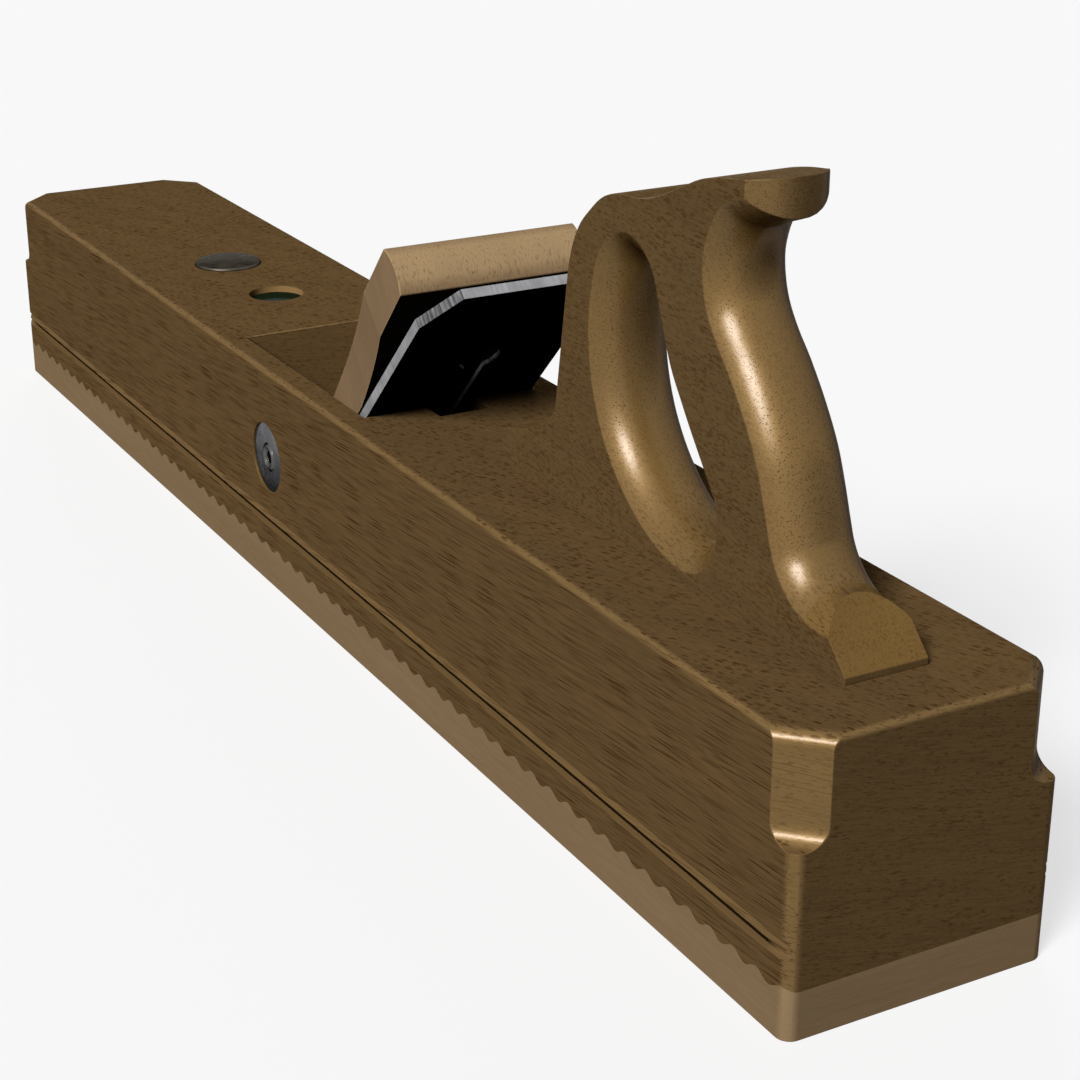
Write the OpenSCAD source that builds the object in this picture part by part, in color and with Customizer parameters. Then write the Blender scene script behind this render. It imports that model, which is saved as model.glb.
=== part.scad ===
// Wooden jointer plane with a closed tote, a wedged double iron and a pivoting crossbar.
// X runs from heel to toe, Y across the plane, Z up. The origin is the middle of the sole face.

/* [Body] */
// Length of the plane, heel to toe
body_length = 600; // [560:1:680]
// Width of the body and the sole
body_width = 80; // [76:0.5:92]
// Height of the top face above the sole face
body_height = 80; // [78:0.5:86]
// Radius of the four upright corner edges
corner_r = 4; // [1:0.5:5]
// Radius of the long and short top edges
arris_r = 2; // [0.5:0.5:3]

/* [Sole] */
// Mean thickness of the hornbeam sole
sole_thick = 14; // [10:0.5:18]
// Half height of the waved glue joint
wave_rise = 1.05; // [0.2:0.05:2]
// Length of one wave of the glue joint
wave_pitch = 10.25; // [8:0.25:14]

/* [Corner stops] */
// Leg of the 45 degree chamfer at each corner
stop_leg = 10; // [6:0.5:12]
// How far each chamfer runs down from the top face
stop_length = 28.6; // [20:0.2:36]
// Radius of the hollow that ends the chamfer
cove_r = 5; // [2:0.5:6]
// Radius that rolls the chamfer over into the top face
roll_r = 4; // [2:0.5:6]

/* [Side moulding] */
// Height of the upper quirk above the sole face
quirk_top = 27.4; // [24:0.1:34]
// Height of the upper tooth
tooth_upper = 2.9; // [1.5:0.1:4]
// Height of the lower tooth
tooth_lower = 2.4; // [1.5:0.1:4]
// Depth of the moulding
quirk_depth = 1.6; // [0.6:0.1:2.4]

/* [Throat] */
// Pitch of the bed
bed_angle = 45; // [43:0.5:48]
// Distance of the cutting edge ahead of the middle of the sole
edge_ahead = 38.3; // [20:0.1:50]
// Height of the cutting edge above the sole face, with the iron drawn back
edge_rise = 0.3; // [0.2:0.1:1]
// Width of the throat between the cheeks
throat_width = 62; // [61.8:0.1:64]
// Opening of the mouth ahead of the iron
mouth_gap = 2; // [1:0.1:3]
// Lean of the front wall of the throat from upright
front_lean = 9; // [6:0.5:12]
// Chamfer on the front edge of the throat
throat_chamfer = 0.6; // [0.3:0.1:2.5]
// Width of the channel for the head of the cap screw
channel_width = 18; // [15:0.5:22]
// Depth of that channel, square to the bed
channel_depth = 7.4; // [5:0.1:9]
// Distance from the cutting edge to the lower end of that channel
channel_start = 56; // [50:0.5:60]

/* [Plane iron] */
// Width of the iron
iron_width = 60; // [58:0.1:61]
// Thickness of the iron
iron_thick = 3.4; // [2.6:0.1:4]
// Length of the iron
iron_length = 187; // [180:0.5:200]
// Width of the clipped top corners
clip_across = 10; // [5:0.5:14]
// Length of the clipped top corners
clip_along = 14.8; // [8:0.2:18]
// Width of the slot
slot_width = 6.8; // [6.6:0.1:8]
// Distance from the cutting edge to the lower end of the slot
slot_start = 54; // [48:0.5:60]
// Diameter of the round end of the slot
keyhole_d = 13.4; // [12.4:0.1:15]
// Distance from the cutting edge to the middle of that round end
keyhole_at = 145.5; // [130:0.5:155]
// Grinding angle of the bevel
bevel_angle = 25; // [23:1:32]

/* [Cap iron] */
// Thickness of the cap iron
cap_thick = 3; // [2.4:0.1:3.4]
// Distance from the cutting edge to the upper end of the cap iron
cap_end = 90; // [86:0.5:96]
// Distance of the cap iron's tip behind the cutting edge
cap_setback = 1.2; // [0.8:0.1:2]
// Height of the hump over the flat of the cap iron
hump_rise = 1.6; // [0.8:0.1:2]
// Distance from the cutting edge to the cap screw
screw_at = 70; // [68:0.5:74]
// Diameter of the thread of the cap screw
screw_d = 6.4; // [5:0.1:6.5]
// Diameter of the head of the cap screw
screw_head_d = 12; // [10:0.1:12.2]
// Thickness of that head
screw_head_h = 3; // [2:0.1:4]
// Diameter of the riveted nut
nut_d = 14; // [12:0.5:16]
// Height of the nut over the cap iron
nut_h = 2.4; // [2:0.1:2.6]

/* [Wedge] */
// Width of the driven part of the wedge
wedge_width = 61; // [60:0.1:61.2]
// Distance from the cutting edge to the thin end of the wedge
wedge_tail = 42; // [38:0.5:46]
// Height of the thin end over the iron
tail_rise = 6.7; // [6.4:0.1:8]
// Taper of the front face
wedge_taper = 7.4; // [6.5:0.1:8]
// Distance from the cutting edge to the heel, where the back leaves the iron
wedge_heel = 116; // [114:0.5:124]
// Lean of the back of the head away from the iron
head_lean = 7.2; // [5:0.1:9]
// Distance from the cutting edge to the start of the flared sides
flare_start = 110; // [109:0.5:118]
// Distance from the cutting edge to the widest place of the head
head_start = 153.7; // [145:0.1:160]
// How far each side flares out to that place
head_flare = 3.5; // [1:0.1:6]
// How far each side narrows again above it
head_narrow = 1.5; // [0.2:0.1:4]
// Distance from the cutting edge to the crown of the head
wedge_end = 176.2; // [170:0.2:182]
// Radius of the crown
crown_r = 16.5; // [14:0.5:24]

/* [Crossbar] */
// Diameter of the crossbar
crossbar_d = 24; // [22:0.5:26]
// Distance from its axis to the flat that bears on the wedge
crossbar_flat = 10.2; // [9.5:0.05:10.9]
// Distance from the cutting edge to the crossbar, along the bed
crossbar_at = 48.7; // [48:0.1:56]
// Diameter of the disc let into each cheek
disc_d = 24.5; // [20:0.5:28]
// Thickness of the disc
disc_h = 3; // [2:0.1:4]
// Depth of the disc below the cheek
disc_sunk = 0.8; // [0:0.1:1.5]
// Diameter of the sleeve behind the disc
sleeve_d = 13; // [12.4:0.1:15]
// Diameter of the pivot screw's shank
pivot_d = 6; // [5:0.1:7]
// Diameter of the head of the pivot screw
pivot_head_d = 9.6; // [8.5:0.1:10]
// Height of that head
pivot_head_h = 3.4; // [3:0.1:4]
// How far the head stands proud of the disc
head_proud = 0.5; // [0:0.1:0.8]
// Key size of its hexagon socket
key_size = 4; // [3:0.1:4.5]
// Diameter of the threaded insert in the crossbar
insert_d = 10; // [9:0.1:12]
// Length of the threaded insert
insert_length = 14; // [10:0.5:18]

/* [Tote] */
// Thickness of the tote
tote_thick = 25; // [22:0.5:30]
// How far the full rounds stand over the flat sides' edge
round_depth = 7; // [4:0.5:9]
// Distance from the heel to the back of the tote's foot
tote_setback = 20.5; // [14:0.5:30]
// Height of the upright edge of the foot
foot_edge = 2; // [1:0.1:4]
// Thickness of the tenon under the tote
tenon_thick = 12; // [8:0.5:16]
// Depth of the tenon
tenon_depth = 15; // [8:0.5:20]

/* [Top fittings] */
// Distance of the striking button ahead of the middle
button_ahead = 150; // [140:1:180]
// Diameter of the striking button
button_d = 25.6; // [20:0.2:30]
// Height of the button's crown over the top face
button_rise = 1.3; // [0.8:0.1:3]
// Depth of the seat of the button
button_seat = 4; // [3:0.1:6]
// Diameter of the button's shank
shank_d = 10; // [6:0.5:12]
// Length of the shank
shank_length = 18; // [12:0.5:24]
// Distance of the badge ahead of the middle
badge_ahead = 100.5; // [90:0.5:115]
// Diameter of the badge recess
badge_d = 20.5; // [16:0.5:24]
// Depth of the badge recess
badge_depth = 3.2; // [1.6:0.1:4]
// Thickness of the badge
badge_thick = 0.8; // [0.5:0.1:1.2]

/* [Hidden] */
$fn = 48;

// Clearances between pieces
glue_gap = 0.05;
slide_gap = 0.3;
bar_gap = 0.6;
cap_room = 9.3;
heel_flat = 4.5;
bed_gap = 0.15;
lap_gap = 0.05;
pivot_gap = 0.05;
thread_gap = 0.02;

// Overrun of a cutter, and how far the corner's roll laps its flat
cut = 1;
roll_lap = 0.02;

// Driven edges and heights
heel_x = -body_length / 2;
toe_x = body_length / 2;
half_width = body_width / 2;
bed_t = -iron_thick - bed_gap;
wedge_t = lap_gap + cap_thick + slide_gap;
channel_end = body_height / sin(bed_angle) + 40;

// A place on the bed: s runs up the iron from its edge, t stands square to it
function bed_point(s, t) = [
    edge_ahead - s * cos(bed_angle) + t * sin(bed_angle),
    edge_rise + s * sin(bed_angle) + t * cos(bed_angle)];

// The crossbar's axis follows the front face of the wedge
crossbar_t = tail_rise + (crossbar_at - wedge_tail) * tan(wedge_taper)
    + (crossbar_flat + bar_gap) / cos(wedge_taper);
pivot_point = bed_point(crossbar_at, crossbar_t);
disc_face = half_width - disc_sunk;
head_face = disc_face + head_proud;
head_seat = head_face - pivot_head_h;

// Outlines of the tote, from the back lower corner of its foot
tote_x = heel_x + tote_setback;
foot_run = 18;
foot_front = 173.6;
back_outline = [[-14, 10.5], [7.5, 9.5], [12, 9.3], [18, 9.8], [24, 12.5], [29, 16.8], [32, 21], [34, 26],
    [37, 34.5], [41, 44], [47, 53.5], [54, 62.5], [60, 69], [64.5, 75.5], [66.8, 82.5],
    [67, 89.5], [64.5, 97], [60, 103], [54, 106], [43, 110], [28, 116]];
top_outline = [[32, 114.3], [43, 113], [50, 112], [58, 110.9], [66, 109.2], [71, 107.6],
    [76, 105.4], [81.5, 102.9], [88.5, 100], [95.4, 97.9], [100, 97.2], [105, 96.9], [109.5, 96.3],
    [113, 95.3], [116, 94.1], [119, 92.3], [122.5, 89.5], [128, 84.5], [132, 78.2], [134.3, 71.5],
    [135.4, 66]];
front_outline = [[140.9, 33], [141.8, 28.2], [143.8, 24.8], [147, 22], [151, 19.6], [156, 17.2],
    [162, 15], [168, 13.4], [172, 12.4], [foot_front, 10.6]];
hole_outline = [[103.5, 87], [96.5, 85], [91, 80.5], [88.3, 75], [86, 69], [81, 57.5],
    [75.5, 49.5], [69.5, 41.5], [61.5, 31.5], [57.8, 26], [56.5, 20], [58, 13], [62.5, 6.8],
    [69, 3.3], [76, 2.8], [84, 4.3], [93, 7.8], [102, 13.5], [110, 20.8], [116.5, 29.8],
    [120.8, 39.8], [123, 50.5], [123, 60], [121.3, 70], [117.5, 79.5], [111.5, 85.3]];
horn_x = 50;
horn_low = 90;

// The tenon starts above the foot's bevel and ends short of its front
tenon_run = foot_front - 2 * foot_run - 1.6;

// Steps between the points of a curve
curve_steps = 4;

// Point at share u of the smooth curve between b and c
function curve_point(a, b, c, d, u) =
    b + u * (c - a) / 2 + u * u * (2 * a - 5 * b + 4 * c - d) / 2
    + u * u * u * (3 * b - a - 3 * c + d) / 2;
function open_curve(p, n) = let (last = len(p) - 1) [
    for (i = [0 : last - 1], j = [0 : n - 1])
        curve_point(p[max(i - 1, 0)], p[i], p[i + 1], p[min(i + 2, last)], j / n),
    p[last]];
function closed_curve(p, n) = let (m = len(p)) [
    for (i = [0 : m - 1], j = [0 : n - 1])
        curve_point(p[(i + m - 1) % m], p[i], p[(i + 1) % m], p[(i + 2) % m], j / n)];

// Left-hand normal at point i of a curve
function curve_normal(p, i, closed) = let (
        m = len(p),
        before = closed ? p[(i + m - 1) % m] : p[max(i - 1, 0)],
        after = closed ? p[(i + 1) % m] : p[min(i + 1, m - 1)],
        d = (after - before) / norm(after - before)) [-d[1], d[0]];

// Arc that the full rounds follow across the tote's thickness
round_r = (pow(tote_thick / 2, 2) + pow(round_depth, 2)) / (2 * round_depth);
round_half = asin(tote_thick / 2 / round_r);
round_steps = 6;
round_levels = concat(
    [[-tote_thick / 2 - cut, 0]],
    [for (k = [-round_steps : round_steps]) let (a = k * round_half / round_steps)
        [round_r * sin(a), round_r * cos(a) - round_r + round_depth]],
    [[tote_thick / 2 + cut, 0]]);

function joint_z(x) = sole_thick + wave_rise * cos(360 * x / wave_pitch);
wave_steps = 8;
wave_reach = ceil(body_length / 2 / wave_pitch * wave_steps) + 1;
wave_line = [for (i = [-wave_reach : wave_reach]) let (x = i * wave_pitch / wave_steps)
    [x, joint_z(x)]];

// Stands a flat outline drawn in X and Z across the plane
module across(width) {
    rotate([90, 0, 0]) linear_extrude(width, center = true) children();
}

// Frame of the bed: local X runs down the iron, local Z stands square to it
module on_bed() {
    translate([edge_ahead, 0, edge_rise]) rotate([0, bed_angle, 0]) children();
}

module both_sides() {
    children();
    mirror([0, 1, 0]) children();
}

// Turns a piece from the Z axis onto the crossbar's axis, at the left cheek
module at_pivot() {
    translate([pivot_point[0], 0, pivot_point[1]]) rotate([-90, 0, 0]) children();
}

module plan_prism(height) {
    dx = body_length - 2 * corner_r;
    dy = body_width - 2 * corner_r;
    linear_extrude(height) {
        square([body_length, dy], center = true);
        square([dx, body_width], center = true);
        for (sx = [-1, 1], sy = [-1, 1]) translate([sx * dx / 2, sy * dy / 2]) circle(corner_r);
    }
}

// Outline with two rounded upper corners
module arch_outline(width) {
    half = width / 2;
    translate([-half, 0]) square([width, body_height - arris_r]);
    translate([arris_r - half, 0]) square([width - 2 * arris_r, body_height]);
    for (side = [-1, 1]) translate([side * (half - arris_r), body_height - arris_r]) circle(arris_r);
}

// The two saw teeth of the side moulding
module quirk_outline() {
    lower_top = quirk_top - tooth_upper;
    polygon([[half_width + cut, quirk_top], [half_width - quirk_depth, quirk_top],
        [half_width - 0.3, lower_top], [half_width - quirk_depth, lower_top],
        [half_width, lower_top - tooth_lower], [half_width + cut, lower_top - tooth_lower]]);
}

// What a corner chamfer takes away, drawn outwards from the corner and upwards
module stop_outline() {
    depth = stop_leg / sqrt(2);
    foot = body_height - stop_length;
    top = body_height + cut;
    translate([-depth, foot + cove_r]) square([depth + cut, top - foot - cove_r]);
    translate([cove_r - depth, foot]) square([depth - cove_r + cut, cove_r + cut]);
    translate([cove_r - depth, foot + cove_r]) circle(cove_r);
    translate([roll_lap - depth - roll_r, body_height - roll_r]) difference() {
        square([roll_r + cut, roll_r + cut]);
        circle(roll_r);
    }
}

module corner_stops() {
    for (sx = [-1, 1], sy = [-1, 1]) {
        translate([sx * body_length / 2, sy * half_width, 0])
            rotate([0, 0, atan2(sy, sx)]) across(4 * stop_leg) stop_outline();
    }
}

// Throat in X and Z, from under the mouth to over the top face
module throat_outline() {
    top = body_height + cut;
    bed_low = bed_point(-4, bed_t);
    bed_high = bed_point(channel_end, bed_t);
    mouth_x = edge_ahead + edge_rise / tan(bed_angle) + mouth_gap;
    front_x = mouth_x + top * tan(front_lean);
    difference() {
        polygon([bed_low, [mouth_x, bed_low[1]], [mouth_x, 0], [front_x, top],
            [front_x, bed_high[1]], bed_high]);
        translate([heel_x, top]) square([2 * body_length, body_length]);
    }
    translate([front_x - cut * tan(front_lean), body_height]) rotate(45)
        square(throat_chamfer * sqrt(2), center = true);
}

module throat() {
    across(throat_width) throat_outline();
    on_bed() translate([0, 0, bed_t - channel_depth]) linear_extrude(channel_depth + cut) {
        start = channel_start + channel_width / 2;
        translate([-channel_end, -channel_width / 2])
            square([channel_end - start, channel_width]);
        translate([-start, 0]) circle(d = channel_width);
    }
}

module tenon(gap) {
    translate([tote_x + foot_run, -tenon_thick / 2 - gap, body_height - tenon_depth - gap])
        cube([tenon_run + gap, tenon_thick + 2 * gap, tenon_depth + gap]);
}

module body_block() {
    color("#6e5632") difference() {
        intersection() {
            plan_prism(body_height);
            across(body_width + cut) arch_outline(body_length);
            rotate([0, 0, 90]) across(body_length + cut) difference() {
                arch_outline(body_width);
                quirk_outline();
                mirror([1, 0]) quirk_outline();
            }
        }
        across(body_width + cut) polygon(concat(wave_line,
            [[toe_x + wave_pitch, -cut], [heel_x - wave_pitch, -cut]]));
        corner_stops();
        throat();
        tenon(glue_gap);
        translate([button_ahead, 0, body_height - button_seat])
            cylinder(d = button_d + 0.4, h = button_seat + cut);
        translate([button_ahead, 0, body_height - button_seat - shank_length - 1])
            cylinder(d = shank_d + 2 * thread_gap, h = shank_length + cut + 1);
        translate([badge_ahead, 0, body_height - badge_depth])
            cylinder(d = badge_d, h = badge_depth + cut);
        both_sides() at_pivot() {
            translate([0, 0, disc_face - disc_h]) cylinder(d = disc_d, h = disc_h + disc_sunk + cut);
            translate([0, 0, throat_width / 2 - cut])
                cylinder(d = sleeve_d + 2 * thread_gap, h = half_width - throat_width / 2);
        }
    }
}

module sole() {
    color("#8d7350") difference() {
        intersection() {
            plan_prism(sole_thick + 2 * wave_rise);
            across(body_width + cut) polygon(concat(wave_line,
                [[toe_x + wave_pitch, 0], [heel_x - wave_pitch, 0]]));
        }
        throat();
    }
}

// Solid between outlines that lie one behind the other along Y
module loft(levels, outlines) {
    n = len(outlines[0]);
    m = len(levels);
    polyhedron(
        points = [for (k = [0 : m - 1], p = outlines[k]) [p[0], levels[k], p[1]]],
        faces = concat([[for (i = [n - 1 : -1 : 0]) i]], [[for (i = [0 : n - 1]) (m - 1) * n + i]],
            [for (k = [0 : m - 2], i = [0 : n - 1]) let (j = (i + 1) % n)
                [k * n + i, k * n + j, (k + 1) * n + j, (k + 1) * n + i]]));
}

// Space behind the grip, which leaves a full round on its back
module back_space() {
    line = open_curve(back_outline, curve_steps);
    loft([for (l = round_levels) l[0]], [for (l = round_levels) concat(
        [for (i = [0 : len(line) - 1]) line[i] + l[1] * curve_normal(line, i, false)],
        [[-40, 116], [-40, 10.5]])]);
}

module hand_hole() {
    line = closed_curve(hole_outline, curve_steps);
    loft([for (l = round_levels) l[0]], [for (l = round_levels)
        [for (i = [0 : len(line) - 1]) line[i] + l[1] * curve_normal(line, i, true)]]);
}

module tote() {
    color("#80643a") {
        translate([tote_x, 0, body_height]) difference() {
            across(tote_thick) polygon(concat(
                [[0, 0], [0, foot_edge], [foot_run, foot_edge + foot_run], [foot_run, horn_low]],
                open_curve(top_outline, curve_steps), open_curve(front_outline, curve_steps),
                [[foot_front, 0]]));
            back_space();
            hand_hole();
            translate([horn_x, 0, horn_low]) linear_extrude(40) difference() {
                translate([-40, -tote_thick]) square([40, 2 * tote_thick]);
                translate([round_r - round_depth, 0]) circle(round_r, $fn = 96);
            }
        }
        tenon(0);
    }
}

module strike_button() {
    rim_z = body_height + button_rise - 0.9;
    seat_z = body_height - button_seat;
    bevel = 0.5;
    crown_w = button_d / 2 - bevel;
    crown_h = body_height + button_rise - rim_z - bevel;
    crown_r = (crown_w * crown_w + crown_h * crown_h) / (2 * crown_h);
    color("#8f9196") translate([button_ahead, 0, 0]) {
        intersection() {
            union() {
                translate([0, 0, seat_z]) cylinder(d = button_d, h = rim_z - seat_z);
                translate([0, 0, rim_z])
                    cylinder(d1 = button_d, d2 = 2 * (crown_w - 2), h = bevel + 2);
            }
            translate([0, 0, body_height + button_rise - crown_r]) sphere(crown_r, $fn = 96);
        }
        translate([0, 0, seat_z - shank_length]) cylinder(d = shank_d, h = shank_length + 1);
    }
}

module badge_disc() {
    floor_z = body_height - badge_depth;
    color("#1f5a3c") translate([badge_ahead, 0, floor_z]) difference() {
        cylinder(d = badge_d - 0.2, h = badge_thick);
        translate([0, 0, badge_thick - 0.2]) cylinder(d = badge_d - 2, h = cut);
    }
}

// Side view of the wedge, with s measured down from the edge of the iron
module wedge_outline() {
    heel_t = slide_gap;
    head_run = wedge_end + cut;
    front_t = tail_rise + (head_run - wedge_tail) * tan(wedge_taper);
    back_t = heel_t + (head_run - wedge_heel) * tan(head_lean);
    intersection() {
        polygon([[-wedge_tail, wedge_t], [-wedge_tail, tail_rise], [-head_run, front_t],
            [-head_run, back_t], [-wedge_heel, heel_t], [heel_flat - wedge_heel, heel_t],
            [-cap_end - cap_room, wedge_t]]);
        union() {
            translate([crown_r - wedge_end, (front_t + back_t) / 2]) circle(crown_r, $fn = 96);
            translate([-head_start, 0]) square([head_start, wedge_end]);
        }
    }
}

// What each side of the wedge loses, seen square to the bed: the hollow flare and the narrowing
module wedge_side() {
    half = wedge_width / 2;
    head_half = half + head_flare;
    flare_r = (pow(head_start - flare_start, 2) + pow(head_flare, 2)) / (2 * head_flare);
    narrow = head_narrow / (wedge_end - head_start) * (wedge_end + cut - head_start);
    translate([-flare_start, half + flare_r]) circle(flare_r, $fn = 360);
    translate([-flare_start, half]) square([flare_start, flare_r]);
    polygon([[-head_start, head_half], [-wedge_end - cut, head_half - narrow],
        [-wedge_end - cut, head_half + cut], [-head_start, head_half + cut]]);
}

module wedge() {
    groove_end = screw_at + nut_d / 2 + 13;
    color("#a3845c") on_bed() difference() {
        across(wedge_width + 2 * head_flare) wedge_outline();
        both_sides() linear_extrude(wedge_end) wedge_side();
        linear_extrude(wedge_t + nut_h + slide_gap) {
            translate([-groove_end, 0]) circle(d = channel_width);
            translate([-groove_end, -channel_width / 2])
                square([groove_end - wedge_tail + cut, channel_width]);
        }
    }
}

// Bore that stands square to the bed, from the depth low up to the height high
module bed_bore(s, d, low, high) {
    translate([-s, 0, low]) cylinder(d = d, h = high - low);
}

module plane_iron() {
    half = iron_width / 2;
    bevel_run = iron_thick / tan(bevel_angle);
    color("#a9abad") on_bed() difference() {
        translate([0, 0, -iron_thick]) linear_extrude(iron_thick) difference() {
            polygon([[0, -half], [0, half], [clip_along - iron_length, half],
                [-iron_length, half - clip_across], [-iron_length, clip_across - half],
                [clip_along - iron_length, -half]]);
            translate([-keyhole_at, 0]) circle(d = keyhole_d);
            translate([-keyhole_at, -slot_width / 2])
                square([keyhole_at - slot_start - slot_width / 2, slot_width]);
            translate([-slot_start - slot_width / 2, 0]) circle(d = slot_width);
        }
        across(iron_width + cut) polygon([[0, 0], [-bevel_run, -iron_thick],
            [-bevel_run, -iron_thick - cut], [cut, -iron_thick - cut], [cut, 0]]);
    }
}

module cap_iron() {
    top_t = lap_gap + cap_thick;
    hump = [[-30, top_t], [-24, top_t + 0.35 * hump_rise], [-17, top_t + hump_rise],
        [-10, top_t + 0.75 * hump_rise], [-5.5, top_t - 0.6], [-2.4, 1.5], [-cap_setback, 0.5]];
    hollow = [[-cap_setback, lap_gap], [-8, 0.7], [-15, 1], [-22, 0.6], [-28, lap_gap]];
    half = iron_width / 2;
    color("#96989b") on_bed() difference() {
        intersection() {
            across(iron_width) polygon(concat([[-cap_end, lap_gap], [-cap_end, top_t]],
                open_curve(hump, 4), open_curve(hollow, 3)));
            linear_extrude(3 * cap_thick) polygon([[0, -half], [0, half], [8 - cap_end, half],
                [-cap_end, half - 8], [-cap_end, 8 - half], [8 - cap_end, -half]]);
        }
        bed_bore(screw_at, 9 + 2 * thread_gap, -cut, top_t + cut);
    }
}

module cap_iron_nut() {
    top_t = lap_gap + cap_thick;
    color("#b08d4a") on_bed() difference() {
        union() {
            bed_bore(screw_at, nut_d, top_t, top_t + nut_h);
            bed_bore(screw_at, 9, lap_gap, top_t + cut);
        }
        bed_bore(screw_at, screw_d + 2 * pivot_gap, -cut, top_t + nut_h + cut);
    }
}

module cap_screw() {
    seat = -iron_thick - lap_gap;
    color("#77797c") on_bed() difference() {
        union() {
            bed_bore(screw_at, screw_head_d, seat - screw_head_h, seat);
            bed_bore(screw_at, screw_d, seat - 1, cap_thick + nut_h - 0.2);
        }
        translate([-screw_at - screw_head_d, -0.7, seat - screw_head_h - cut])
            cube([2 * screw_head_d, 1.4, cut + 1.2]);
    }
}

module crossbar() {
    length = throat_width - 2 * slide_gap;
    color("#9a7b52") difference() {
        translate([pivot_point[0], 0, pivot_point[1]]) across(length) difference() {
            circle(d = crossbar_d);
            rotate(180 + bed_angle - wedge_taper)
                translate([crossbar_flat, -crossbar_d]) square(2 * crossbar_d);
        }
        both_sides() at_pivot() translate([0, 0, length / 2 - insert_length - 3])
            cylinder(d = insert_d + 2 * thread_gap, h = insert_length + 3 + cut);
    }
}

module crossbar_insert() {
    face = throat_width / 2 - slide_gap - 0.2;
    color("#b08d4a") at_pivot() translate([0, 0, face - insert_length]) difference() {
        cylinder(d = insert_d, h = insert_length);
        translate([0, 0, -cut])
            cylinder(d = pivot_d + 2 * thread_gap, h = insert_length + 2 * cut);
    }
}

// Steel disc with a sleeve that lines the cheek
module pivot_bush() {
    inner = throat_width / 2;
    well_d = pivot_head_d + 2 * slide_gap;
    color("#a4a6a9") at_pivot() difference() {
        union() {
            translate([0, 0, disc_face - disc_h]) cylinder(d = disc_d - 0.1, h = disc_h);
            translate([0, 0, inner]) cylinder(d = sleeve_d, h = disc_face - inner - 1);
        }
        translate([0, 0, inner - cut]) cylinder(d = pivot_d + 2 * pivot_gap, h = half_width);
        translate([0, 0, head_seat - slide_gap]) cylinder(d = well_d, h = half_width);
    }
}

// Button head with a dished face round its socket, and a plain shank
module pivot_screw() {
    reach = throat_width / 2 - slide_gap - insert_length;
    bevel = 0.9;
    dish_d = pivot_head_d - 2.6;
    color("#6f7174") at_pivot() difference() {
        union() {
            translate([0, 0, head_seat]) cylinder(d = pivot_head_d, h = pivot_head_h - bevel);
            translate([0, 0, head_face - bevel])
                cylinder(d1 = pivot_head_d, d2 = pivot_head_d - 2 * bevel, h = bevel);
            translate([0, 0, reach]) cylinder(d = pivot_d, h = head_seat - reach + cut);
        }
        translate([0, 0, head_face - 0.8]) cylinder(d1 = dish_d - 1.6, d2 = dish_d + 0.2, h = 0.9);
        translate([0, 0, head_face - 2.6])
            cylinder(d = key_size * 2 / sqrt(3), h = 2.6 + cut, $fn = 6);
    }
}

module to_right() {
    mirror([0, 1, 0]) children();
}

body_block();
sole();
tote();
strike_button();
badge_disc();
wedge();
plane_iron();
cap_iron();
cap_iron_nut();
cap_screw();
crossbar();
crossbar_insert();  // crossbar_insert_left
to_right() crossbar_insert();  // crossbar_insert_right
pivot_bush();  // pivot_bush_left
to_right() pivot_bush();  // pivot_bush_right
pivot_screw();  // pivot_screw_left
to_right() pivot_screw();  // pivot_screw_right
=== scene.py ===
import math
import bpy
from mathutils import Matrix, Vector


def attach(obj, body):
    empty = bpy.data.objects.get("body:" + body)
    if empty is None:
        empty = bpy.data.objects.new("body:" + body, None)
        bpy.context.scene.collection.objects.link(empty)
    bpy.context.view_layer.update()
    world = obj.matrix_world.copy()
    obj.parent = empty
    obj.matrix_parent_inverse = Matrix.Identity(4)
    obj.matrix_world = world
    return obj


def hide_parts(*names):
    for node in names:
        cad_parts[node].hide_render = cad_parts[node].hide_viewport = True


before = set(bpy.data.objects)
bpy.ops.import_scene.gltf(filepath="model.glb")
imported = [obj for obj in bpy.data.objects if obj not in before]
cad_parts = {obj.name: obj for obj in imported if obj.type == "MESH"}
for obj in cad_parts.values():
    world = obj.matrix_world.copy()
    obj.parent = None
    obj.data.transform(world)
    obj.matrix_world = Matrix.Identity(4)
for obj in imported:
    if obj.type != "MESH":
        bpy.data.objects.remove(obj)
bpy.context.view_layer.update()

# Body
# The stock is one long block of steamed beech, planed square and left with a thin coat of oil.
# Its arrises are rounded over, and two saw-tooth quirks run along each side above the sole.


def linear(shade):
    """An sRGB hex shade as the linear colour that a shader takes."""
    parts = [int(shade[i:i + 2], 16) / 255 for i in (1, 3, 5)]
    return [p / 12.92 if p <= 0.04045 else ((p + 0.055) / 1.055) ** 2.4 for p in parts] + [1.0]


def add(material, kind, inputs=None, **settings):
    """Adds one shader node with its settings, and with its sockets set or joined to other nodes."""
    tree = material.node_tree
    made = tree.nodes.new(kind)
    for name, value in settings.items():
        setattr(made, name, value)
    for name, value in (inputs or {}).items():
        if isinstance(value, bpy.types.NodeSocket):
            tree.links.new(value, made.inputs[name])
        else:
            made.inputs[name].default_value = value
    return made


def empty_material(name):
    """A material with no nodes in it yet."""
    material = bpy.data.materials.new(name)
    material.use_nodes = True
    material.node_tree.nodes.clear()
    return material


def only(piece):
    """Selects one piece and nothing else."""
    bpy.ops.object.select_all(action="DESELECT")
    piece.select_set(True)
    bpy.context.view_layer.objects.active = piece


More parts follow.
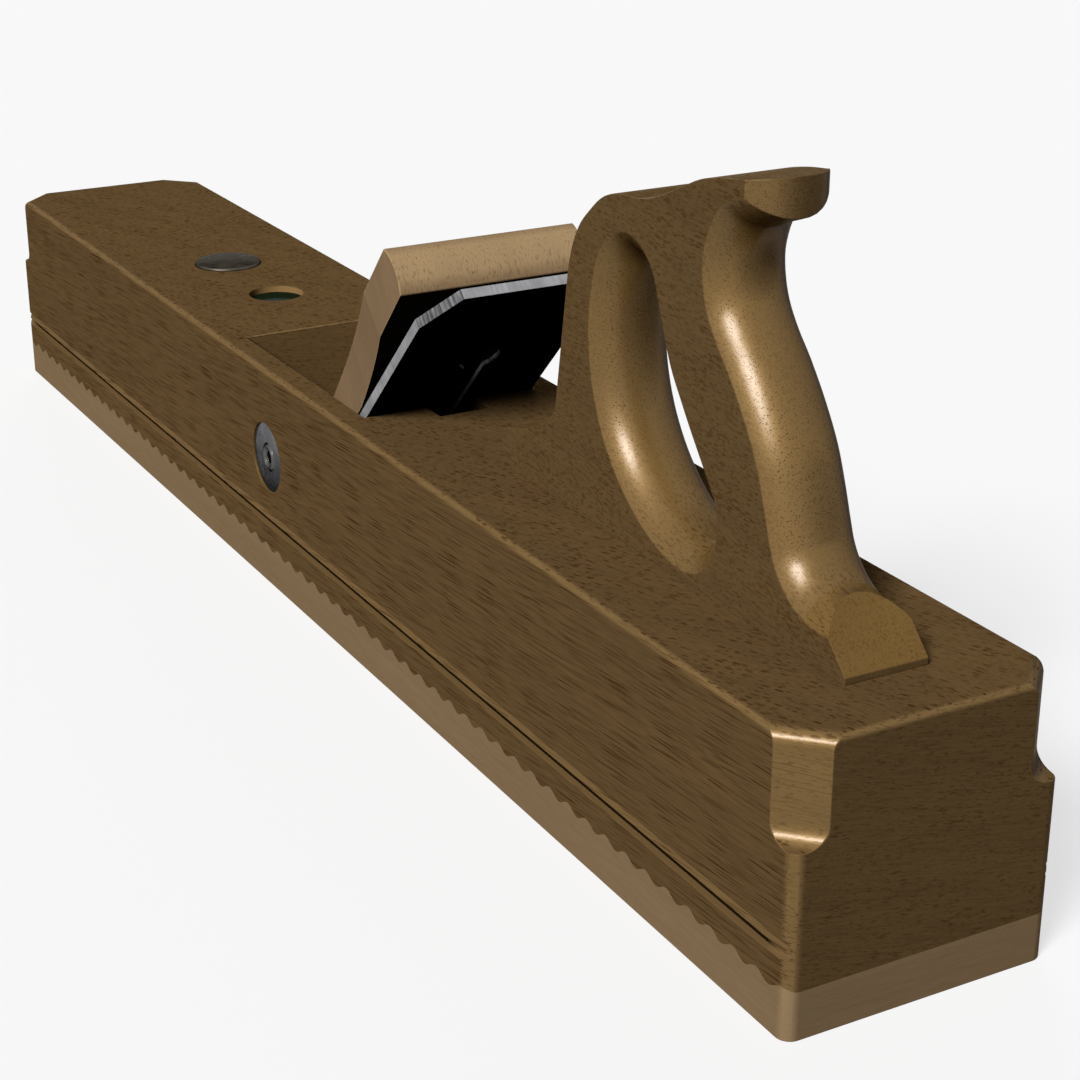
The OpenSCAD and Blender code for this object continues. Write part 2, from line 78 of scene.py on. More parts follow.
def dressed(node, body, name, edge, material, glued=None, crease=32):
    """A merged copy of a machined piece with its sharp edges broken, shown in the piece's place.

    Edges that lie wholly between the two heights in glued meet another piece and stay sharp.
    crease is the angle in degrees from which an edge counts as sharp.
    """
    piece = bpy.data.objects.new(name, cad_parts[node].data.copy())
    bpy.context.scene.collection.objects.link(piece)
    only(piece)
    bpy.ops.mesh.customdata_custom_splitnormals_clear()
    bpy.ops.object.mode_set(mode="EDIT")
    bpy.ops.mesh.select_mode(type="EDGE")
    bpy.ops.mesh.select_all(action="SELECT")
    bpy.ops.mesh.remove_doubles(threshold=5e-5)
    bpy.ops.mesh.dissolve_limited(angle_limit=math.radians(0.3))
    bpy.ops.mesh.select_all(action="DESELECT")
    bpy.ops.mesh.edges_select_sharp(sharpness=math.radians(crease))
    bpy.ops.object.mode_set(mode="OBJECT")
    if glued:
        heights = [spot.co.z for spot in piece.data.vertices]
        for line in piece.data.edges:
            if all(glued[0] < heights[end] < glued[1] for end in line.vertices):
                line.select = False
    bpy.ops.object.mode_set(mode="EDIT")
    bpy.ops.mesh.bevel(offset=edge, segments=2, affect="EDGES", clamp_overlap=False)
    bpy.ops.object.mode_set(mode="OBJECT")
    bpy.ops.object.shade_smooth_by_angle(angle=math.radians(crease))
    flats = piece.modifiers.new("flats stay flat", "WEIGHTED_NORMAL")
    flats.weight = 100
    flats.keep_sharp = True
    bpy.ops.object.modifier_apply(modifier=flats.name)
    piece.data.materials.clear()
    piece.data.materials.append(material)
    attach(piece, body)
    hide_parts(node)


def spindles(wood, grain, length, width, fewest, most):
    """Dark spindles of one size strewn along the grain: 1 in the middle of each, 0 between."""
    squeezed = add(wood, "ShaderNodeVectorMath", {0: grain, 1: (1 / length, 1 / width, 1 / width)},
                   operation="MULTIPLY")
    cells = add(wood, "ShaderNodeTexVoronoi", {"Vector": squeezed.outputs["Vector"], "Scale": 1.0,
                "Randomness": 1.0}, feature="F1")
    body = add(wood, "ShaderNodeMapRange", {0: cells.outputs["Distance"], 1: 0.42, 2: 0.24,
               3: 0.0, 4: 1.0}, interpolation_type="SMOOTHSTEP")
    lot = add(wood, "ShaderNodeSeparateColor", {"Color": cells.outputs["Color"]})
    dark = add(wood, "ShaderNodeMapRange", {0: lot.outputs["Red"], 1: fewest, 2: most, 3: 0.0,
               4: 1.0})
    return add(wood, "ShaderNodeMath", {0: body.outputs[0], 1: dark.outputs[0]},
               operation="MULTIPLY").outputs[0]


def strokes(wood, grain, length, width, least, most):
    """Soft dark strokes along the grain, where a stretched noise lies between least and most."""
    squeezed = add(wood, "ShaderNodeVectorMath", {0: grain, 1: (1 / length, 1 / width, 1 / width)},
                   operation="MULTIPLY")
    cloud = add(wood, "ShaderNodeTexNoise", {"Vector": squeezed.outputs["Vector"], "Scale": 1.0,
                "Detail": 1.5, "Roughness": 0.55})
    return add(wood, "ShaderNodeMapRange", {0: cloud.outputs["Fac"], 1: least, 2: most, 3: 0.0,
               4: 1.0}, interpolation_type="SMOOTHSTEP").outputs[0]


def within(material, place, low, high):
    """1 where a spot lies between two corners, in metres, on whichever side of the middle."""
    mirrored = add(material, "ShaderNodeVectorMath", {0: place.outputs["Object"]},
                   operation="ABSOLUTE")
    middle = [(a + b) / 2 for a, b in zip(low, high)]
    reach = [(b - a) / 2 for a, b in zip(low, high)]
    off = add(material, "ShaderNodeVectorMath", {0: mirrored.outputs["Vector"], 1: middle},
              operation="SUBTRACT")
    apart = add(material, "ShaderNodeVectorMath", {0: off.outputs["Vector"]},
                operation="ABSOLUTE")
    ratio = add(material, "ShaderNodeVectorMath", {0: apart.outputs["Vector"], 1: reach},
                operation="DIVIDE")
    parts = add(material, "ShaderNodeSeparateXYZ", {"Vector": ratio.outputs["Vector"]})
    flat = add(material, "ShaderNodeMath", {0: parts.outputs["X"], 1: parts.outputs["Y"]},
               operation="MAXIMUM")
    most = add(material, "ShaderNodeMath", {0: flat.outputs[0], 1: parts.outputs["Z"]},
               operation="MAXIMUM")
    return add(material, "ShaderNodeMapRange", {0: most.outputs[0], 1: 1.0, 2: 0.98, 3: 0.0,
               4: 1.0}).outputs[0]


def beech(name, ground, streak, fleck, pale_rounds, lines, dashes, rays, polish=0.0, shine=0.2, glow=0.0,
          lean=(0, 0, 0), across=False, slant=0.0, painted_underside=None, patches=()):
    """Beech or hornbeam: faint pores, fine lines, short dashes, and the dark spindles of its rays.

    ground, streak and fleck are the shades of the wood, its pores and its marks, and the fourth
    shade is that of its rounded edges, which are painted paler: partly wear, partly painted light
    that stands for the brighter light that rounds catch. lines, dashes and rays are the strength of
    each on the end, on the side and on top. lean turns the grain, across lays it level over the
    ends and the corners, and slant turns it on top. polish is the varnish on the rounds, shine how
    rough it is, and glow the golden sheen that goes with it. The shade for undersides is painted
    shade, near-black, on faces that look down, and each of patches is a painted shade or painted
    light, or
    None where the wood is only left matt, with the two corners between which it lies.
    """
    wood = empty_material(name)
    place = add(wood, "ShaderNodeTexCoord")
    mm = add(wood, "ShaderNodeMapping", {"Vector": place.outputs["Object"], "Rotation": lean,
             "Scale": (1000, 1000, 1000)}, vector_type="POINT")
    grain = mm.outputs["Vector"]
    facing = add(wood, "ShaderNodeVectorMath", {0: place.outputs["Normal"]}, operation="ABSOLUTE")
    side = add(wood, "ShaderNodeSeparateXYZ", {"Vector": facing.outputs["Vector"]})
    signed = add(wood, "ShaderNodeSeparateXYZ", {"Vector": place.outputs["Normal"]})
    if across:
        # the end is a quarter turn from the side, and a cut corner an eighth
        wide = add(wood, "ShaderNodeMath", {0: side.outputs["X"], 1: side.outputs["Y"]},
                   operation="ARCTAN2")
        eighths = add(wood, "ShaderNodeMath", {0: wide.outputs[0], 1: 4 / math.pi},
                      operation="MULTIPLY")
        eighth = add(wood, "ShaderNodeMath", {0: eighths.outputs[0]}, operation="ROUND")
        upright = add(wood, "ShaderNodeMath", {0: side.outputs["Z"], 1: 0.9},
                      operation="LESS_THAN")
        turns = add(wood, "ShaderNodeMath", {0: eighth.outputs[0], 1: upright.outputs[0]},
                    operation="MULTIPLY")
        both = add(wood, "ShaderNodeMath", {0: signed.outputs["X"], 1: signed.outputs["Y"]},
                   operation="MULTIPLY")
        hand = add(wood, "ShaderNodeMath", {0: both.outputs[0], 1: 0.02},
                   operation="GREATER_THAN")
        turn = add(wood, "ShaderNodeMapRange", {0: hand.outputs[0], 3: -math.pi / 4,
                   4: math.pi / 4})
        level = add(wood, "ShaderNodeMath", {0: slant, 1: upright.outputs[0]},
                    operation="MULTIPLY")
        flat = add(wood, "ShaderNodeMath", {0: slant, 1: level.outputs[0]},
                   operation="SUBTRACT")
        angle = add(wood, "ShaderNodeMath", {0: turns.outputs[0], 1: turn.outputs[0],
                    2: flat.outputs[0]}, operation="MULTIPLY_ADD")
        grain = add(wood, "ShaderNodeVectorRotate", {"Vector": grain, "Angle": angle.outputs[0]},
                    rotation_type="Z_AXIS").outputs["Vector"]
    # the grain wanders by half a millimetre over some centimetres
    drawn = add(wood, "ShaderNodeVectorMath", {0: grain, 1: (0.2, 1.0, 1.0)},
                operation="MULTIPLY")
    ripple = add(wood, "ShaderNodeTexNoise", {"Vector": drawn.outputs["Vector"], "Scale": 0.06,
                 "Detail": 1.0})
    bent = add(wood, "ShaderNodeVectorMath", {0: ripple.outputs["Color"], 1: (2.0, 2.0, 2.0),
               2: grain}, operation="MULTIPLY_ADD").outputs["Vector"]
    # how much a spot faces the end, the side and the top
    up = add(wood, "ShaderNodeMapRange", {0: side.outputs["Z"], 1: 0.45, 2: 0.85})
    flank = add(wood, "ShaderNodeMapRange", {0: side.outputs["Y"], 1: 0.6, 2: 0.95})
    either = add(wood, "ShaderNodeMath", {0: up.outputs[0], 1: flank.outputs[0]}, operation="ADD",
                 use_clamp=True)
    end = add(wood, "ShaderNodeMath", {0: 1.0, 1: either.outputs[0]}, operation="SUBTRACT")
    share = add(wood, "ShaderNodeCombineXYZ", {"X": end.outputs[0], "Y": flank.outputs[0],
                "Z": up.outputs[0]})
    # marks stand thicker in some places than in others
    clumps = add(wood, "ShaderNodeTexNoise", {"Vector": bent, "Scale": 0.09, "Detail": 2.0})
    crowd = add(wood, "ShaderNodeMapRange", {0: clumps.outputs["Fac"], 1: 0.34, 2: 0.6, 3: 0.6,
                4: 1.0})
    # each kind by the length and width of its cells in millimetres: dashes, large and small ray
    # spindles, the dots that rays make in end grain, and sharp and soft lines; real pores are
    # finer still, and are drawn as coarse as they need to show
    kinds = [(strokes(wood, bent, 2.2, 0.48, 0.56, 0.66), dashes),
             (spindles(wood, bent, 4.0, 1.3, 0.3, 0.7), (0.0, rays[1], rays[2])),
             (spindles(wood, bent, 2.6, 0.85, 0.35, 0.9), (0.0, rays[1], rays[2])),
             (spindles(wood, bent, 1.3, 0.52, 0.0, 0.7), (rays[0], 0.0, 0.0)),
             (spindles(wood, bent, 24.0, 0.55, 0.0, 0.7), lines),
             (strokes(wood, bent, 40.0, 0.4, 0.5, 0.7), [0.6 * force for force in lines])]
    marks = None
    for kind, strength in kinds:
        level = add(wood, "ShaderNodeVectorMath", {0: share.outputs[0], 1: strength},
                    operation="DOT_PRODUCT")
        shown = add(wood, "ShaderNodeMath", {0: kind, 1: level.outputs["Value"]},
                    operation="MULTIPLY")
        marks = shown if marks is None else add(wood, "ShaderNodeMath", {0: marks.outputs[0],
                                                1: shown.outputs[0]}, operation="MAXIMUM")
    marks = add(wood, "ShaderNodeMath", {0: marks.outputs[0], 1: crowd.outputs[0]},
                operation="MULTIPLY", use_clamp=True)
    # pores run the whole length, some 0.4 mm apart, under slow changes of tone
    long_mm = add(wood, "ShaderNodeVectorMath", {0: bent, 1: (0.07, 1.0, 1.0)},
                  operation="MULTIPLY")
    pores = add(wood, "ShaderNodeTexNoise", {"Vector": long_mm.outputs["Vector"], "Scale": 1.5,
                "Detail": 3.0, "Roughness": 0.65})
    fine = add(wood, "ShaderNodeMapRange", {0: pores.outputs["Fac"], 1: 0.4, 2: 0.72, 3: 0.0,
               4: 0.8})
    bands = add(wood, "ShaderNodeTexNoise", {"Vector": long_mm.outputs["Vector"], "Scale": 0.1,
                "Detail": 3.0})
    broad = add(wood, "ShaderNodeMapRange", {0: bands.outputs["Fac"], 1: 0.35, 2: 0.65, 3: 0.95,
                4: 1.05})
    base = add(wood, "ShaderNodeMix", {0: fine.outputs[0], 6: linear(ground), 7: linear(streak)},
               data_type="RGBA")
    toned = add(wood, "ShaderNodeVectorMath", {0: base.outputs[2], "Scale": broad.outputs[0]},
                operation="SCALE")
    # where a face isn't square to the plane it is a rounded edge, painted paler: partly wear from
    # hands and shavings, partly painted light that stands for the brighter light that rounds catch
    straight = add(wood, "ShaderNodeMath", {0: side.outputs["X"], 1: side.outputs["Y"]},
                   operation="MAXIMUM")
    square = add(wood, "ShaderNodeMath", {0: straight.outputs[0], 1: side.outputs["Z"]},
                 operation="MAXIMUM")
    roundness = add(wood, "ShaderNodeMapRange", {0: square.outputs[0], 1: 0.997, 2: 0.87, 3: 0.0,
                 4: 1.0})
    patchy = add(wood, "ShaderNodeMapRange", {0: ripple.outputs["Fac"], 1: 0.3, 2: 0.7, 3: 0.75,
                 4: 1.0})
    pale_share = add(wood, "ShaderNodeMath", {0: roundness.outputs[0], 1: patchy.outputs[0]},
               operation="MULTIPLY")
    paled = add(wood, "ShaderNodeMix", {0: pale_share.outputs[0], 6: toned.outputs["Vector"],
                  7: linear(pale_rounds)}, data_type="RGBA")
    colour = add(wood, "ShaderNodeMix", {0: marks.outputs[0], 6: paled.outputs[2],
                 7: linear(fleck)}, data_type="RGBA")
    # varnish sinks into the marks, which stay matt
    bright = add(wood, "ShaderNodeMath", {0: marks.outputs[0], 1: -0.7, 2: 1.0},
                 operation="MULTIPLY_ADD")
    bright = add(wood, "ShaderNodeMath", {0: roundness.outputs[0], 1: bright.outputs[0]},
                 operation="MULTIPLY").outputs[0]
    # each patch with a shade paints it over the colour, as painted shade or painted light, and
    # takes the gloss away
    for shade, low, high in patches:
        patch = within(wood, place, low, high)
        if shade:
            colour = add(wood, "ShaderNodeMix", {0: patch, 6: colour.outputs[2],
                         7: linear(shade)}, data_type="RGBA")
        spared = add(wood, "ShaderNodeMath", {0: 1.0, 1: patch}, operation="SUBTRACT")
        bright = add(wood, "ShaderNodeMath", {0: bright, 1: spared.outputs[0]},
                     operation="MULTIPLY").outputs[0]
    # faces that look down are painted near-black here, as painted shade
    if painted_underside:
        under = add(wood, "ShaderNodeMapRange", {0: signed.outputs["Z"], 1: -0.35, 2: -0.5,
                    3: 0.0, 4: 1.0})
        colour = add(wood, "ShaderNodeMix", {0: under.outputs[0], 6: colour.outputs[2],
                     7: linear(painted_underside)}, data_type="RGBA")
    finish = {}
    for socket, most in (("Coat Weight", polish), ("Metallic", glow)):
        if most:
            finish[socket] = add(wood, "ShaderNodeMath", {0: bright, 1: most},
                                 operation="MULTIPLY").outputs[0]
    dip = add(wood, "ShaderNodeMath", {0: marks.outputs[0], 1: fine.outputs[0]}, operation="ADD")
    relief = add(wood, "ShaderNodeBump", {"Height": dip.outputs[0], "Strength": 0.12,
                 "Distance": 0.0001}, invert=True)
    surface = add(wood, "ShaderNodeBsdfPrincipled", {**finish, "Base Color": colour.outputs[2],
                  "Roughness": 0.42, "Specular IOR Level": 0.0,
                  "Specular Tint": (0.12, 0.08, 0.04, 1.0), "Coat Roughness": shine,
                  "Coat IOR": 2.4, "Normal": relief.outputs["Normal"]})
    add(wood, "ShaderNodeOutputMaterial", {"Surface": surface.outputs["BSDF"]})
    return wood


# the badge recess's walls, painted paler as painted light; the top half of the side quirk, painted
# near-black as painted shade in the groove, and its lower half painted darker as painted shade
badge_wall = ("#856842", (0.08, -0.03, 0.06), (0.28, 0.03, 0.0798))
quirk_top = ("#160f07", (-0.296, 0.038, 0.0233), (0.296, 0.0398, 0.0247))
quirk_foot = ("#5a462b", (-0.296, 0.038, 0.0217), (0.296, 0.0399, 0.0233))
# steamed beech under old oil: brown, close-grained and almost without shine
body_beech = beech("oiled_beech", "#604b2f", "#524028", "#3b2611", "#735a34",
                   lines=(0.1, 1.0, 0.1), dashes=(0.6, 0.0, 0.45), rays=(0.2, 0.0, 0.9),
                   polish=0.08, shine=0.24, glow=0.3,
                   lean=(math.radians(-12), math.radians(-4), 0), across=True,
                   slant=math.radians(-22),
                   patches=[badge_wall, quirk_top, quirk_foot])
glue_line = (0.0126, 0.0154)
dressed("body_block", "stock", "beech_stock", 0.0003, body_beech, glued=glue_line)

# Sole
# A harder, paler hornbeam sole is glued under the stock along a waved joint that a moulder cuts.
# It is nearly plain, with only faint short marks.

# hornbeam: greyish tan, close and even, dull from use
sole_hornbeam = beech("worn_hornbeam", "#7f694e", "#776247", "#66523a", "#8a7254",
                      lines=(0.2, 0.15, 0.2), dashes=(0.15, 0.15, 0.3), rays=(0.0, 0.1, 0.2),
                      polish=0.04, shine=0.3, glow=0.2, across=True)
dressed("sole", "stock", "hornbeam_sole_plate", 0.0003, sole_hornbeam,
        glued=glue_line)

# Tote
# The closed tote is sawn from a beech board, its grip and hand hole are shaped to full rounds,
# and it is tenoned and glued into the stock. Hands have polished the rounds.

# the sawn facet at the heel of the tote, which no hand polishes
heel_facet = (None, (0.2613, -0.014, 0.079), (0.282, 0.014, 0.102))
# beech varnished and then polished by the hand: its rounds shine, its flats hardly do, and its
# rounds are painted paler, partly as wear and partly as painted light
tote_beech = beech("varnished_beech", "#5f4b2f", "#514028", "#3f240b", "#715831",
                   lines=(0.0, 0.1, 0.1), dashes=(0.0, 0.7, 0.7), rays=(0.8, 0.5, 0.5),
                   polish=0.09, shine=0.25, glow=0.27, lean=(0, math.radians(3), 0),
                   patches=[heel_facet])
dressed("tote", "stock", "beech_tote_board", 0.0003, tote_beech)

# Striking button
# A turned steel button is driven into the top of the stock, to be tapped when the iron is
# loosened. Blows have dulled its crown.


def steel(name, shade, rough, spread, lines, lean=0.0, tooth=0.22, bare=0.85, rim=0.5,
          shaded=None, painted_dark=None, well=False):
    """Steel or brass with tool marks of the lengths in lines, in metres, turned by lean about Y.

    rough is how rough it is and spread how far that varies, tooth how far the marks stand out,
    bare how metallic the skin still is and rim how bright it looks edge on. shaded gives an axis
    and the two places along it over which painted shade fades from dark to the steel's full tone.
    The near-black shade, when given, is painted as shade on faces that look down, and where there
    is a well it also covers the depth of the slot.
    """
    metal = empty_material(name)
    place = add(metal, "ShaderNodeTexCoord")
    marks = add(metal, "ShaderNodeMapping", {"Vector": place.outputs["Object"],
                "Rotation": (0, lean, 0), "Scale": lines}, vector_type="TEXTURE")
    lay = add(metal, "ShaderNodeTexNoise", {"Vector": marks.outputs["Vector"], "Scale": 1.0,
              "Detail": 3.0, "Roughness": 0.6})
    cloud = add(metal, "ShaderNodeTexNoise", {"Vector": place.outputs["Object"], "Scale": 160.0,
                "Detail": 3.0})
    mixed = add(metal, "ShaderNodeMath", {0: lay.outputs["Fac"], 1: cloud.outputs["Fac"]},
                operation="MULTIPLY")
    dull = add(metal, "ShaderNodeMapRange", {0: mixed.outputs[0], 1: 0.12, 2: 0.4,
               3: rough - spread, 4: rough + spread})
    tone = add(metal, "ShaderNodeMapRange", {0: mixed.outputs[0], 1: 0.1, 2: 0.45,
               3: 1 - tooth, 4: 1 + tooth}).outputs[0]
    if shaded:
        # painted shade: the tone drops to 0.14 of full towards the low end of the axis
        mirrored = add(metal, "ShaderNodeVectorMath", {0: place.outputs["Object"]},
                       operation="ABSOLUTE")
        spot = add(metal, "ShaderNodeSeparateXYZ", {"Vector": mirrored.outputs["Vector"]})
        spared = add(metal, "ShaderNodeMapRange", {0: spot.outputs[shaded[0]], 1: shaded[1],
                    2: shaded[2], 3: 0.14, 4: 1.0})
        tone = add(metal, "ShaderNodeMath", {0: tone, 1: spared.outputs[0]},
                   operation="MULTIPLY").outputs[0]
    tint = add(metal, "ShaderNodeVectorMath", {0: linear(shade)[:3], "Scale": tone},
               operation="SCALE").outputs["Vector"]
    if painted_dark:
        # faces that look down are painted near-black, as painted shade
        look = add(metal, "ShaderNodeSeparateXYZ", {"Vector": place.outputs["Normal"]})
        under = add(metal, "ShaderNodeMapRange", {0: look.outputs["Z"], 1: -0.35, 2: -0.5,
                    3: 0.0, 4: 1.0}).outputs[0]
        if well:
            sides = add(metal, "ShaderNodeVectorMath", {0: place.outputs["Normal"]},
                        operation="ABSOLUTE")
            turned = add(metal, "ShaderNodeSeparateXYZ", {"Vector": sides.outputs["Vector"]})
            # the iron leans at 45 degrees, so X and Z add up to the same all over its back
            back, lit_edge, half_slot, iron_top = 0.0338, 0.0015, 0.0075, 0.115
            # inside the slot, deeper than a thin strip at its back edge, the steel is painted
            # near-black as painted shade
            along = add(metal, "ShaderNodeVectorMath", {0: place.outputs["Object"],
                        1: (1.0, 0.0, 1.0)}, operation="DOT_PRODUCT")
            deep = add(metal, "ShaderNodeMapRange", {0: along.outputs["Value"],
                       1: back + lit_edge, 2: back + lit_edge + 0.0007, 3: 0.0, 4: 1.0})
            slot = within(metal, place, (0.0, -half_slot, 0.0), (0.2, half_slot, iron_top))
            inner = add(metal, "ShaderNodeMath", {0: deep.outputs[0], 1: slot},
                        operation="MULTIPLY")
            under = add(metal, "ShaderNodeMath", {0: under, 1: inner.outputs[0]},
                        operation="MAXIMUM").outputs[0]
            # the clipped corners, whose faces lean between the sides and the top, are roughly
            # ground, and darker
            clipped = add(metal, "ShaderNodeMath", {0: turned.outputs["Y"], 1: 0.6, 2: 0.32},
                          operation="COMPARE")
            coarse = add(metal, "ShaderNodeMapRange", {0: lay.outputs["Fac"], 1: 0.35, 2: 0.65,
                         3: 0.2, 4: 0.8})
            dull = add(metal, "ShaderNodeMath", {0: clipped.outputs[0], 1: 0.8,
                       2: dull.outputs[0]}, operation="MULTIPLY_ADD", use_clamp=True)
            rough_tint = add(metal, "ShaderNodeVectorMath", {0: tint, "Scale": coarse.outputs[0]},
                             operation="SCALE")
            tint = add(metal, "ShaderNodeMix", {0: clipped.outputs[0], 6: tint,
                       7: rough_tint.outputs["Vector"]}, data_type="RGBA").outputs[2]
        tint = add(metal, "ShaderNodeMix", {0: under, 6: tint, 7: linear(painted_dark)},
                   data_type="RGBA").outputs[2]
    relief = add(metal, "ShaderNodeBump", {"Height": lay.outputs["Fac"], "Strength": 0.15,
                 "Distance": 0.00005})
    surface = add(metal, "ShaderNodeBsdfPrincipled", {"Base Color": tint, "Metallic": bare,
                  "Roughness": dull.outputs[0], "Specular IOR Level": 0.0,
                  "Specular Tint": (rim, rim, rim, 1.0), "Normal": relief.outputs["Normal"]})
    add(metal, "ShaderNodeOutputMaterial", {"Surface": surface.outputs["BSDF"]})
    return metal


# steel browned by age and bruised by blows, with a brighter rubbed rim
button_steel = steel("struck_steel", "#524d45", 0.45, 0.12, (0.0012,) * 3, bare=1.0, rim=0.2)
dressed("strike_button", "stock", "steel_button", 0.0002, button_steel)

# Badge
# A thin enamelled disc is pressed into a flat-bottomed recess ahead of the throat.
# It is plain green; its bare rim is left the same green.

# dark green enamel, matt with age
badge = empty_material("green_enamel")
badge_place = add(badge, "ShaderNodeTexCoord")
badge_cloud = add(badge, "ShaderNodeTexNoise", {"Vector": badge_place.outputs["Object"],
                  "Scale": 500.0, "Detail": 3.0})
badge_tone = add(badge, "ShaderNodeMix", {0: badge_cloud.outputs["Fac"], 6: linear("#0c160b"),
                 7: linear("#1b2516")}, data_type="RGBA")
badge_face = add(badge, "ShaderNodeBsdfPrincipled", {"Base Color": badge_tone.outputs[2],
                 "Roughness": 0.5, "Specular IOR Level": 0.0, "Coat Weight": 0.02,
                 "Coat Roughness": 0.15})
add(badge, "ShaderNodeOutputMaterial", {"Surface": badge_face.outputs["BSDF"]})
dressed("badge_disc", "stock", "enamel_badge", 0.0001, badge)

# Irons
# The cutting iron is a parallel steel plate with clipped corners and a keyhole slot. The cap
# iron lies on its front face and is drawn tight by a cheese-head screw in a riveted nut.

# steel ground bright on its edges; its back is painted near-black as painted shade
grinding = (0.0005, 0.0005, 0.01)
bed_angle = math.radians(45)
iron_steel = steel("ground_steel", "#98989a", 0.42, 0.06, grinding, lean=bed_angle, tooth=0.3,
                   bare=0.35, rim=0.2, painted_dark="#050506", well=True)
dressed("plane_iron", "cutter", "cutting_iron", 0.0002, iron_steel)
# the same plate as it left the rolls, dull and even, its underside painted near-black as painted
# shade
cap_steel = steel("rolled_steel", "#8c8c8e", 0.42, 0.06, grinding, lean=bed_angle, bare=0.6,
                  rim=0.2, painted_dark="#050506")
dressed("cap_iron", "breaker", "chip_breaker", 0.0002, cap_steel)
# steel blacked in oil: nearly matt and dark
screw_steel = steel("blacked_steel", "#3c3e40", 0.4, 0.1, (0.0007,) * 3)
dressed("cap_screw", "breaker_screw", "cheese_head_screw", 0.0002, screw_steel)
# brass with the fine rings of the lathe, warm and fairly bright
turned_brass = steel("turned_brass", "#b8924c", 0.34, 0.08, (0.0007,) * 3, bare=1.0, rim=0.8)
dressed("cap_iron_nut", "breaker", "riveted_nut", 0.0002, turned_brass)

# Wedge
# The wedge is pale beech, cut along the grain. Its shoulders taper and its head is rounded, so
# that it can be tapped with a mallet.

# pale beech, never oiled: fine dark spindles that run up the wedge; its rounded crown is painted
# paler as painted light, and its faces that look down are painted near-black as painted shade
wedge_beech = beech("pale_beech", "#7c664c", "#735d45", "#5c4730", "#a28864",
                    lines=(0.2, 0.1, 0.2), dashes=(0.6, 0.15, 0.5), rays=(0.0, 0.0, 0.0),
                    lean=(0, math.radians(60), 0), painted_underside="#17130f")
dressed("wedge", "key_wedge", "beech_wedge_key", 0.0003, wedge_beech,
        crease=9)

# Crossbar
# A beech bar bears on the wedge and turns on two steel screws. Each runs in a steel bush whose
# disc is let into the cheek, and bites in a brass insert in the end of the bar.

# the bar turns end for end, so its grain runs across the plane
bar_beech = beech("bare_beech", "#7c664c", "#705b43", "#57432a", "#94795a",
                  lines=(0.4, 0.3, 0.3), dashes=(0.6, 0.3, 0.5), rays=(0.2, 0.1, 0.2),
                  polish=0.05, lean=(0, 0, math.radians(90)))
dressed("crossbar", "abutment", "pivoting_bar", 0.0003, bar_beech)
# satin steel, painted darker towards the bottom as painted shade that stands for a darker
# reflection below
disc_steel = steel("satin_steel", "#98989a", 0.34, 0.05, (0.0012,) * 3, bare=1.0, rim=0.2,
                   shaded=("Z", 0.034, 0.062))
# the same steel, darker, and painted darker still deep in its socket as painted shade
head_steel = steel("socket_shaded_steel", "#5e5e5c", 0.3, 0.08, (0.0011,) * 3, bare=1.0, rim=0.3,
                   shaded=("Y", 0.0376, 0.0386))
for hand in ("left", "right"):
    dressed("crossbar_insert_" + hand, "abutment", hand + "_threaded_insert", 0.0002,
            turned_brass)
    dressed("pivot_bush_" + hand, "stock", hand + "_cheek_bush", 0.0001, disc_steel)
    dressed("pivot_screw_" + hand, hand + "_screw", hand + "_button_screw", 0.00015, head_steel)

# Studio
# The plane lies on a sheet of pale paper in soft light from a window behind its left side, and
# is seen from behind the heel, from the left and a little above.

# the paper reflects little onto the plane, but shows pale to the eye and in the steel
floor_paint = empty_material("pale_paper")
path = add(floor_paint, "ShaderNodeLightPath")
reflected = add(floor_paint, "ShaderNodeMath", {0: path.outputs["Is Glossy Ray"],
                1: path.outputs["Is Transmission Ray"]}, operation="MAXIMUM")
direct = add(floor_paint, "ShaderNodeMath", {0: reflected.outputs[0],
             1: path.outputs["Is Camera Ray"]}, operation="MAXIMUM")
seen = add(floor_paint, "ShaderNodeMix", {0: direct.outputs[0], 6: (0.1, 0.1, 0.1, 1),
           7: (0.89, 0.89, 0.89, 1)}, data_type="RGBA")
matt = add(floor_paint, "ShaderNodeBsdfDiffuse", {"Color": seen.outputs[2]})
glow = add(floor_paint, "ShaderNodeEmission", {"Color": (0.93, 0.93, 0.93, 1), "Strength": 1.0})
share = add(floor_paint, "ShaderNodeMath", {0: direct.outputs[0], 1: 0.72}, operation="MULTIPLY")
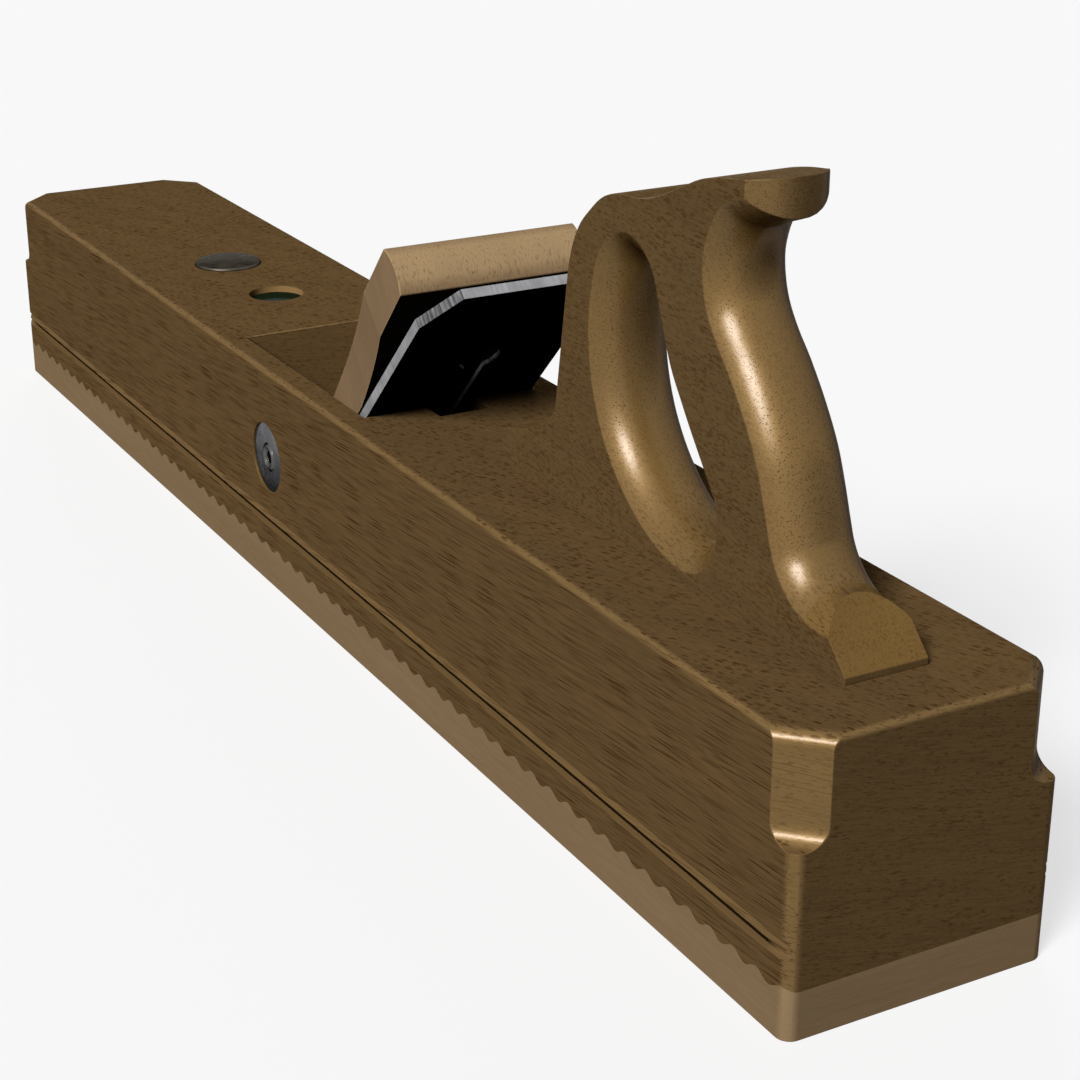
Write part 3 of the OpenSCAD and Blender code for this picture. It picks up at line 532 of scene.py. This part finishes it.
paper = add(floor_paint, "ShaderNodeMixShader", {0: share.outputs[0], 1: matt.outputs[0],
            2: glow.outputs[0]})
add(floor_paint, "ShaderNodeOutputMaterial", {"Surface": paper.outputs[0]})
bpy.ops.object.select_all(action="DESELECT")
bpy.ops.mesh.primitive_circle_add(vertices=64, radius=8.0, fill_type="NGON", location=(0, 0, 0))
floor = bpy.context.active_object
floor.name = "studio_floor"
floor.data.materials.append(floor_paint)

world = bpy.data.worlds.new("studio_air")
bpy.context.scene.world = world
world.use_nodes = True
world.node_tree.nodes.clear()
air_path = add(world, "ShaderNodeLightPath")
seen_air = add(world, "ShaderNodeMath", {0: air_path.outputs["Is Camera Ray"],
               1: air_path.outputs["Is Glossy Ray"]}, operation="MAXIMUM")
seen_air = add(world, "ShaderNodeMath", {0: seen_air.outputs[0],
               1: air_path.outputs["Is Transmission Ray"]}, operation="MAXIMUM")
air_level = add(world, "ShaderNodeMapRange", {0: seen_air.outputs[0], 1: 0.0, 2: 1.0, 3: 0.08,
                4: 0.93})
air = add(world, "ShaderNodeBackground", {"Color": (1, 1, 1, 1), "Strength": air_level.outputs[0]})
add(world, "ShaderNodeOutputWorld", {"Surface": air.outputs[0]})


def window(name, energy, spread, towards):
    """A soft, far light that stands where the arrow towards points."""
    lamp_data = bpy.data.lights.new(name, "SUN")
    lamp_data.energy = energy
    lamp_data.angle = math.radians(spread)
    lamp = bpy.data.objects.new(name, lamp_data)
    lamp.rotation_euler = Vector(towards).to_track_quat("Z", "Y").to_euler()
    bpy.context.scene.collection.objects.link(lamp)


window("window_light", 4.35, 20, (-0.58, 1.0, 1.0))
window("far_window", 2.4, 40, (1.0, -0.45, 0.1))

camera_data = bpy.data.cameras.new("photo_camera")
camera_data.lens = 75.0
camera_data.sensor_width = 36.0
camera = bpy.data.objects.new("photo_camera", camera_data)
camera.location = (-0.66757, 0.30834, 0.31449)
camera.rotation_euler = (math.radians(67.808), 0, math.radians(-118.781))
bpy.context.scene.collection.objects.link(camera)
bpy.context.scene.camera = camera
bpy.context.scene.view_settings.view_transform = "Standard"
